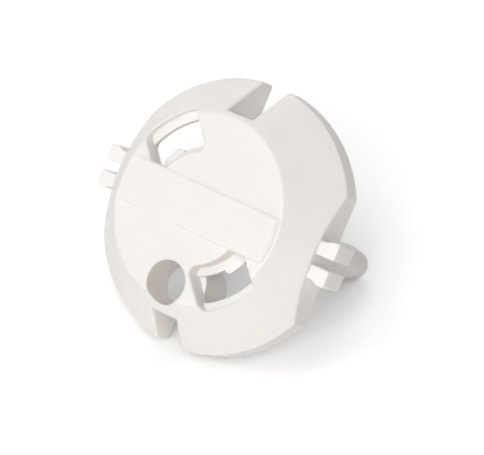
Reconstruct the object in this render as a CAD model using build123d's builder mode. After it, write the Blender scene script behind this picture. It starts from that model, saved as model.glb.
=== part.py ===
"""Safety cover for a recessed wall outlet with an earth pin, moulded in one piece of white plastic.

The cover stands as it does on the wall: +Z is up, the face looks along -Y, and the two contact pins
point along +Y into the outlet. The origin is in the middle of the back of the rim, the plane that meets
the floor of the outlet. Heights are measured from that plane towards the room. Sizes are millimetres.
"""

import os
from math import hypot

from build123d import *

os.makedirs("parts", exist_ok=True)

# Shell
body_radius = 18.5
face_radius = 12.6
face_height = 9.5
rim_height = 2.7
wall = 1.3
flat_wall = 1.1
face_thickness = 2.9
face_edge_round = 0.7
rim_edge_round = 0.3

# Raised bar across the face
bar_width = 6.3
bar_rise = 0.4
bar_end_setback = 0.1
bar_edge_slope = 0.3

# Flats at the left and right, and the snap prongs on them
flat_depth = 2.25
flat_corner_round = 0.4
prong_reach = 2.8
prong_front = 4.75
prong_back = 0.4
prong_gap = 1.4
prong_root_width = 1.9
prong_tip_width = 2.3
prong_tip_length = 1.1
prong_flare_length = 0.8
prong_tip_round = 0.25
prong_edge_round = 0.2

# Notches for the earth clips of the outlet
notch_width = 4.1
top_notch_floor = 13.2
bottom_notch_gap = 1.15
notch_wall = 1.3
notch_edge_round = 0.35

# Hole for the earth pin of the outlet, and the collar behind it
earth_radius = 2.95
earth_drop = 10.4
collar_front_radius = 4.4
collar_back_radius = 3.75
collar_short_height = 4.1

# Key slots, and the catch ledges and key catches sunk in them
slot_inner_radius = 7.5
slot_outer_radius = 13.5
slot_angle = 48.0
slot_width = 8.3
slot_offset = 0.7
slot_corner = 1.0
slot_edge_slope = 0.2
catch_depth = 2.2
catch_inner_radius = 8.6
catch_outer_radius = 12.2
key_catch_radius = 9.4
key_catch_width = 3.4
key_catch_gap = 0.8
key_catch_round = 0.8

# Contact pins with their thicker roots, and the web that joins them
pin_radius = 2.4
pin_root_radius = 2.9
pin_spacing = 19.0
pin_length = 20.0
pin_end_length = 4.0
pin_tip_radius = 1.8
pin_tip_round = 0.9
web_thickness = 1.4
web_foot = 1.5

# Worked out from the sizes above
flat_distance = body_radius - flat_depth
bottom_notch_floor = earth_drop + earth_radius + bottom_notch_gap
plate_back = face_height - face_thickness
catch_height = face_height - catch_depth
cone_run = body_radius - face_radius
cone_rise = face_height - rim_height
cone_slope = cone_rise / cone_run
inner_radius = body_radius - wall
inner_cone_foot = rim_height + wall * cone_slope - wall * hypot(cone_run, cone_rise) / cone_run
inner_cone_head = inner_radius - (plate_back - inner_cone_foot) / cone_slope
slot_near_end = slot_offset + slot_width / 2
whole_width = 2 * body_radius


def at_height(height):
    """The plane across the cover at a height above the back of the rim, facing the room."""
    return Plane.XZ.offset(height)


with BuildSketch(at_height(0)) as slot_outline:
    # The lower right slot from the front: a ring cut to a strip with parallel ends, and along the bar
    Circle(slot_outer_radius)
    Circle(slot_inner_radius, mode=Mode.SUBTRACT)
    with Locations(Location((0, 0), -slot_angle)):
        with Locations((0, slot_offset)):
            Rectangle(whole_width, slot_width, align=(Align.MIN, Align.CENTER), mode=Mode.INTERSECT)
    Rectangle(whole_width, bar_width, mode=Mode.SUBTRACT)
    fillet(slot_outline.vertices().sort_by(Axis.Y)[:-2], radius=slot_corner)


with BuildSketch(at_height(0)) as key_catch:
    # Tab that the key hooks behind: round on both corners, a gap away from the slot's near end
    Circle(key_catch_radius)
    with Locations(Location((0, 0), -slot_angle)):
        with Locations((0, slot_near_end - key_catch_gap)):
            Rectangle(
                whole_width, key_catch_width, align=(Align.MIN, Align.MAX), mode=Mode.INTERSECT
            )
    fillet(key_catch.vertices().group_by(SortBy.DISTANCE)[-1], radius=key_catch_round)


with BuildSketch(at_height(0)) as catch_opening:
    # What stays open between the catch ledges, down through the back of the face plate
    add(slot_outline.sketch_local)
    Circle(catch_outer_radius, mode=Mode.INTERSECT)
    Circle(catch_inner_radius, mode=Mode.SUBTRACT)
    add(key_catch.sketch_local, mode=Mode.SUBTRACT)


with BuildPart() as hollow:
    # The space inside the shell
    with BuildSketch(Plane.XY):
        with BuildLine():
            Polyline(
                (0, -plate_back),
                (inner_cone_head, -plate_back),
                (inner_radius, -inner_cone_foot),
                (inner_radius, 0),
                (0, 0),
                close=True,
            )
        make_face()
    revolve(axis=Axis.Y)
    split(bisect_by=Plane.YZ.offset(flat_distance - flat_wall), keep=Keep.BOTTOM)
    split(bisect_by=Plane.YZ.offset(flat_wall - flat_distance), keep=Keep.TOP)
    # Collar of the earth hole: a full ring near the face, and half a ring on the right down to the rim
    with BuildSketch(at_height(plate_back)):
        with Locations((0, -earth_drop)):
            Circle(collar_front_radius)
    with BuildSketch(at_height(0)):
        with Locations((0, -earth_drop)):
            Circle(collar_back_radius)
    loft(mode=Mode.SUBTRACT)
    with BuildSketch(at_height(0)):
        with Locations((0, -earth_drop)):
            Circle(collar_front_radius)
            Rectangle(
                whole_width, whole_width, align=(Align.MAX, Align.CENTER), mode=Mode.INTERSECT
            )
    extrude(amount=collar_short_height)
    # Walls round the notches
    with BuildSketch(at_height(0)):
        with Locations((0, top_notch_floor - notch_wall)):
            Rectangle(notch_width + 2 * notch_wall, body_radius, align=(Align.CENTER, Align.MIN))
        with Locations((0, notch_wall - bottom_notch_floor)):
            Rectangle(notch_width + 2 * notch_wall, body_radius, align=(Align.CENTER, Align.MAX))
    extrude(amount=plate_back, mode=Mode.SUBTRACT)
    # Web that joins the pins and the two flats
    with BuildSketch(at_height(web_foot)):
        Rectangle(whole_width, web_thickness)
    extrude(amount=plate_back, mode=Mode.SUBTRACT)


with BuildPart() as prongs:
    # Snap prongs: one drawn on the upper right, then mirrored down and to the left
    with BuildSketch(at_height(prong_back)) as prong_outline:
        root = flat_distance - flat_wall / 2
        tip = flat_distance + prong_reach
        inside = prong_gap / 2
        with BuildLine():
            Polyline(
                (root, inside),
                (tip, inside),
                (tip, inside + prong_tip_width),
                (tip - prong_tip_length, inside + prong_tip_width),
                (tip - prong_tip_length - prong_flare_length, inside + prong_root_width),
                (root, inside + prong_root_width),
                close=True,
            )
        make_face()
        fillet(prong_outline.vertices().group_by(Axis.X)[-1], radius=prong_tip_round)
        mirror(about=Plane.XZ)
        mirror(about=Plane.YZ)
    extrude(amount=prong_front - prong_back)
    fillet(prongs.edges().group_by(Axis.Y)[0], radius=prong_edge_round)


with BuildPart() as safety_cover:
    # Face, flange and rim
    with BuildSketch(Plane.XY):
        with BuildLine():
            Polyline(
                (0, -face_height),
                (face_radius, -face_height),
                (body_radius, -rim_height),
                (body_radius, 0),
                (0, 0),
                close=True,
            )
        make_face()
    revolve(axis=Axis.Y)
    rings = safety_cover.edges().filter_by(GeomType.CIRCLE).sort_by(Axis.Y)
    fillet(rings[0], radius=face_edge_round)
    rings = safety_cover.edges().filter_by(GeomType.CIRCLE).sort_by(Axis.Y)
    fillet(rings[-2], radius=rim_edge_round)

    # Flats
    split(bisect_by=Plane.YZ.offset(flat_distance), keep=Keep.BOTTOM)
    split(bisect_by=Plane.YZ.offset(-flat_distance), keep=Keep.TOP)
    fillet(safety_cover.edges().filter_by(Axis.Y), radius=flat_corner_round)

    # Notches
    with BuildSketch(at_height(0)):
        with Locations((0, top_notch_floor)):
            Rectangle(notch_width, body_radius, align=(Align.CENTER, Align.MIN))
        with Locations((0, -bottom_notch_floor)):
            Rectangle(notch_width, body_radius, align=(Align.CENTER, Align.MAX))
    extrude(amount=face_height, mode=Mode.SUBTRACT)
    notch_rims = (
        safety_cover.edges(Select.LAST)
        .filter_by(Axis.Y, reverse=True)
        .filter_by_position(Axis.Y, -face_height, -rim_height)
    )
    fillet(notch_rims, radius=notch_edge_round)

    # Key slots
    with BuildSketch(at_height(catch_height)):
        with PolarLocations(0, 2):
            add(slot_outline.sketch_local)
    extrude(amount=face_height, mode=Mode.SUBTRACT)
    slot_rims = (
        safety_cover.edges(Select.LAST)
        .filter_by(Axis.Y, reverse=True)
        .filter_by(Axis.X, reverse=True)
        .filter_by_position(Axis.Y, -face_height, -catch_height - slot_edge_slope)
    )
    chamfer(slot_rims, length=slot_edge_slope)

    # Raised bar
    with BuildSketch(at_height(catch_height)):
        Circle(face_radius - bar_end_setback)
        Rectangle(whole_width, bar_width, mode=Mode.INTERSECT)
    extrude(amount=catch_depth + bar_rise)
    chamfer(safety_cover.faces().sort_by(Axis.Y)[0].edges(), length=bar_edge_slope)

    # Space inside, and the openings between the catch ledges
    add(hollow.part, mode=Mode.SUBTRACT)
    with BuildSketch(at_height(plate_back)):
        with PolarLocations(0, 2):
            add(catch_opening.sketch_local)
    extrude(amount=face_height, mode=Mode.SUBTRACT)

    # Earth hole
    with BuildSketch(at_height(0)):
        with Locations((0, -earth_drop)):
            Circle(earth_radius)
    extrude(amount=face_height, mode=Mode.SUBTRACT)

    # Snap prongs
    add(prongs.part)

    # Contact pins
    for side in (1, -1):
        middle = side * pin_spacing / 2
        with BuildSketch(Plane.XY):
            with BuildLine():
                Polyline(
                    (middle, pin_length),
                    (middle, -plate_back),
                    (middle + pin_root_radius, -plate_back),
                    (middle + pin_root_radius, -web_foot),
                    (middle + pin_radius, -web_foot),
                    (middle + pin_radius, pin_length - pin_end_length),
                    (middle + pin_tip_radius, pin_length),
                    close=True,
                )
            make_face()
        revolve(axis=Axis((middle, 0, 0), (0, 1, 0)))
    fillet(safety_cover.edges().group_by(Axis.Y)[-1], radius=pin_tip_round)

safety_cover.part.label = "safety_cover"
export_step(safety_cover.part, "parts/safety_cover.step")
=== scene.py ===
"""Looks of the outlet safety cover: white moulded plastic on a white table, lit most from the front left.

Everything is in metres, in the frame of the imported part: the face looks along -Y and +Z is up on the wall.
On the table the cover lies back on the bottom of its rim and the ends of its two pins, so the table is a
plane that leans in this frame.
"""

from math import cos, pi, radians, sin

import bpy
from mathutils import Euler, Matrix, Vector


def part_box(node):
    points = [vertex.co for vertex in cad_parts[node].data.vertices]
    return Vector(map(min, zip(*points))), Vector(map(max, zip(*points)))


# Camera, from the outlines in the photograph, with its lens and sensor in millimetres
CAMERA_PLACE = Vector((0.1645, -0.27693, 0.01887))
CAMERA_TURN = Euler((radians(86.261), radians(-22.538), radians(31.856)))
CAMERA_LENS = 180.7
CAMERA_SENSOR = 36.0

# Table: how far it leans, its size, and the glow that whitens it, dimmed by a painted shadow within this
# reach of the part
TABLE_LEAN = radians(40.0)
TABLE_RADIUS = 0.6
TABLE_CORNERS = 96
TABLE_COLOUR = (0.86, 0.858, 0.846)
TABLE_GLOW = 0.41
TABLE_SHADE_REACH = 0.04

# Plastic: its two colours, the roughness that goes with each, and how deep red, green and blue light go
PLASTIC_LIGHT = (0.877, 0.845, 0.826)
PLASTIC_DARK = (0.857, 0.823, 0.803)
PLASTIC_SMOOTH = 0.40
PLASTIC_ROUGH = 0.52
PLASTIC_IOR = 1.5
PLASTIC_DEPTH = (0.0012, 0.0010, 0.0008)
PLASTIC_DEPTH_SHARE = 0.6
CLOUD_SIZE = 0.006
CLOUD_DETAIL = 3
GRAIN_SIZE = 0.00018
GRAIN_DETAIL = 2
GRAIN_DEPTH = 0.000006
GRAIN_STRENGTH = 0.6

# Lights: name, degrees to the right of the camera, degrees above the table, and watts
LIGHT_DISTANCE = 0.7
LIGHT_SIDE = 0.35
LIGHTS = (
    ("front_left", -20, 30, 2.0),
    ("front_high", 0, 45, 1.6),
    ("left_high", -60, 65, 0.8),
    ("left_low", -75, 20, 0.6),
    ("back_left", -150, 15, 0.6),
    ("back", 180, 45, 1.0),
    ("right", 110, 45, 0.6),
)

WHITE = (1, 1, 1, 1)

# Sockets of the Mix node for colours, which have the same names as its sockets for numbers
MIX_FACTOR = 0
MIX_COLOUR_A = 6
MIX_COLOUR_B = 7
MIX_COLOUR_RESULT = 2


def empty_tree(owner):
    """The node tree of a material or world, with nothing in it."""
    owner.use_nodes = True
    owner.node_tree.nodes.clear()
    return owner.node_tree


def add_node(tree, kind, inputs=None, **settings):
    """A new node with these settings, and with these values on its inputs."""
    node = tree.nodes.new(kind)
    for name, value in settings.items():
        setattr(node, name, value)
    for name, value in (inputs or {}).items():
        node.inputs[name].default_value = value
    return node


def seen_directly(tree):
    """1 for rays from the camera, mirror rays and rays through glass, else 0."""
    path = add_node(tree, "ShaderNodeLightPath")
    seen = path.outputs["Is Camera Ray"]
    for kind in ("Is Glossy Ray", "Is Transmission Ray"):
        either = add_node(tree, "ShaderNodeMath", operation="MAXIMUM")
        tree.links.new(seen, either.inputs[0])
        tree.links.new(path.outputs[kind], either.inputs[1])
        seen = either.outputs[0]
    return seen


def noise(tree, size, detail):
    """Noise with features of about this size, fixed to the part."""
    place = add_node(tree, "ShaderNodeTexCoord")
    pattern = add_node(tree, "ShaderNodeTexNoise", {"Scale": 1 / size, "Detail": detail})
    tree.links.new(place.outputs["Object"], pattern.inputs["Vector"])
    return pattern.outputs["Fac"]


def white_plastic():
    """Slightly warm white plastic with faint clouds in its colour and the fine grain of the mould."""
    material = bpy.data.materials.new("white_plastic")
    tree = empty_tree(material)
    clouds = noise(tree, CLOUD_SIZE, CLOUD_DETAIL)
    grain = noise(tree, GRAIN_SIZE, GRAIN_DETAIL)

    tint = add_node(tree, "ShaderNodeMix", data_type="RGBA")
    tint.inputs[MIX_COLOUR_A].default_value = (*PLASTIC_LIGHT, 1)
    tint.inputs[MIX_COLOUR_B].default_value = (*PLASTIC_DARK, 1)
    tree.links.new(clouds, tint.inputs[MIX_FACTOR])

    gloss = add_node(tree, "ShaderNodeMapRange", {"To Min": PLASTIC_SMOOTH, "To Max": PLASTIC_ROUGH})
    tree.links.new(clouds, gloss.inputs["Value"])

    bump = add_node(tree, "ShaderNodeBump", {"Strength": GRAIN_STRENGTH, "Distance": GRAIN_DEPTH})
    tree.links.new(grain, bump.inputs["Height"])

    surface = add_node(
        tree,
        "ShaderNodeBsdfPrincipled",
        {
            "IOR": PLASTIC_IOR,
            "Subsurface Weight": PLASTIC_DEPTH_SHARE,
            "Subsurface Radius": PLASTIC_DEPTH,
            "Subsurface Scale": 1.0,
        },
    )
    tree.links.new(tint.outputs[MIX_COLOUR_RESULT], surface.inputs["Base Color"])
    tree.links.new(gloss.outputs[0], surface.inputs["Roughness"])
    tree.links.new(bump.outputs["Normal"], surface.inputs["Normal"])

    output = add_node(tree, "ShaderNodeOutputMaterial")
    tree.links.new(surface.outputs[0], output.inputs["Surface"])
    return material


def table_white():
    """Matt white table that glows to plain white where it is seen directly, with a painted shadow that dims
    the glow beside the part.
    """
    material = bpy.data.materials.new("table_white")
    tree = empty_tree(material)
    matt = add_node(tree, "ShaderNodeBsdfDiffuse", {"Color": (*TABLE_COLOUR, 1)})
    glow = add_node(tree, "ShaderNodeEmission")
    both = add_node(tree, "ShaderNodeAddShader")
    strength = add_node(tree, "ShaderNodeMath", operation="MULTIPLY")
    strength.inputs[1].default_value = TABLE_GLOW
    tree.links.new(seen_directly(tree), strength.inputs[0])
    tree.links.new(strength.outputs[0], glow.inputs["Strength"])
    # Painted shadow: ambient occlusion within TABLE_SHADE_REACH darkens the table's glow beside the part
    painted_shadow_mask = add_node(tree, "ShaderNodeAmbientOcclusion", {"Distance": TABLE_SHADE_REACH})
    tree.links.new(painted_shadow_mask.outputs["Color"], glow.inputs["Color"])
    tree.links.new(matt.outputs[0], both.inputs[0])
    tree.links.new(glow.outputs[0], both.inputs[1])

    # The back of the table is clear, so that views from below show the part
    side = add_node(tree, "ShaderNodeNewGeometry")
    clear = add_node(tree, "ShaderNodeBsdfTransparent")
    either_side = add_node(tree, "ShaderNodeMixShader")
    tree.links.new(side.outputs["Backfacing"], either_side.inputs[0])
    tree.links.new(both.outputs[0], either_side.inputs[1])
    tree.links.new(clear.outputs[0], either_side.inputs[2])

    output = add_node(tree, "ShaderNodeOutputMaterial")
    tree.links.new(either_side.outputs[0], output.inputs["Surface"])
    return material


def dress_world():
    """Plain white for the camera, mirror rays and rays through glass, and no light for any others."""
    world = bpy.data.worlds.new("studio")
    bpy.context.scene.world = world
    tree = empty_tree(world)
    white = add_node(tree, "ShaderNodeBackground", {"Color": WHITE})
    output = add_node(tree, "ShaderNodeOutputWorld")
    tree.links.new(seen_directly(tree), white.inputs["Strength"])
    tree.links.new(white.outputs[0], output.inputs["Surface"])


def lay_table(up, level):
    """The table top: a disc across the direction up, at this height along it, facing up."""
    turn = up.to_track_quat("Z", "Y")
    angles = [2 * pi * i / TABLE_CORNERS for i in range(TABLE_CORNERS)]
    ring = [
        turn @ Vector((cos(angle), sin(angle), 0)) * TABLE_RADIUS + up * level for angle in angles
    ]
    mesh = bpy.data.meshes.new("table")
    mesh.from_pydata(ring, [], [range(TABLE_CORNERS)])
    mesh.materials.append(table_white())
    table = bpy.data.objects.new("table", mesh)
    bpy.context.collection.objects.link(table)


def hang_light(name, right_of, above, power, middle, up):
    """A square lamp that faces the part, placed by its angles from the camera and above the table."""
    toward_camera = CAMERA_PLACE - middle
    forward = (toward_camera - toward_camera.dot(up) * up).normalized()
    rightward = up.cross(forward)
    level = cos(radians(right_of)) * forward + sin(radians(right_of)) * rightward
    direction = cos(radians(above)) * level + sin(radians(above)) * up
    lamp = bpy.data.lights.new(name, "AREA")
    lamp.shape = "SQUARE"
    lamp.size = LIGHT_SIDE
    lamp.energy = power
    holder = bpy.data.objects.new(name, lamp)
    holder.location = middle + direction * LIGHT_DISTANCE
    holder.rotation_euler = direction.to_track_quat("Z", "Y").to_euler()
    bpy.context.collection.objects.link(holder)


def place_camera():
    """The camera at the photograph's angle."""
    lens = bpy.data.cameras.new("camera")
    lens.lens = CAMERA_LENS
    lens.sensor_width = CAMERA_SENSOR
    camera = bpy.data.objects.new("camera", lens)
    camera.location = CAMERA_PLACE
    camera.rotation_euler = CAMERA_TURN
    bpy.context.collection.objects.link(camera)
    bpy.context.scene.camera = camera


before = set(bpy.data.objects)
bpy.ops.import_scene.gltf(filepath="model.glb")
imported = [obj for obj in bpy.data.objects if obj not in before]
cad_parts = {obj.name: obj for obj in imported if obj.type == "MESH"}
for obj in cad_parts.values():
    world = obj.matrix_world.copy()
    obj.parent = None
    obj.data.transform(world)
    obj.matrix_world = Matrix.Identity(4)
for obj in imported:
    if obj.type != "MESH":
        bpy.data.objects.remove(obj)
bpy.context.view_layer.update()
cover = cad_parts["safety_cover"]
cover.data.materials.clear()
cover.data.materials.append(white_plastic())

table_up = Vector((0, -sin(TABLE_LEAN), cos(TABLE_LEAN)))
lowest = min(table_up.dot(vertex.co) for vertex in cover.data.vertices)
lay_table(table_up, lowest)

cover_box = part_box("safety_cover")
cover_middle = (Vector(cover_box[0]) + Vector(cover_box[1])) / 2
for name, right_of, above, power in LIGHTS:
    hang_light(name, right_of, above, power, cover_middle, table_up)
dress_world()
place_camera()
bpy.context.scene.view_settings.view_transform = "Standard"
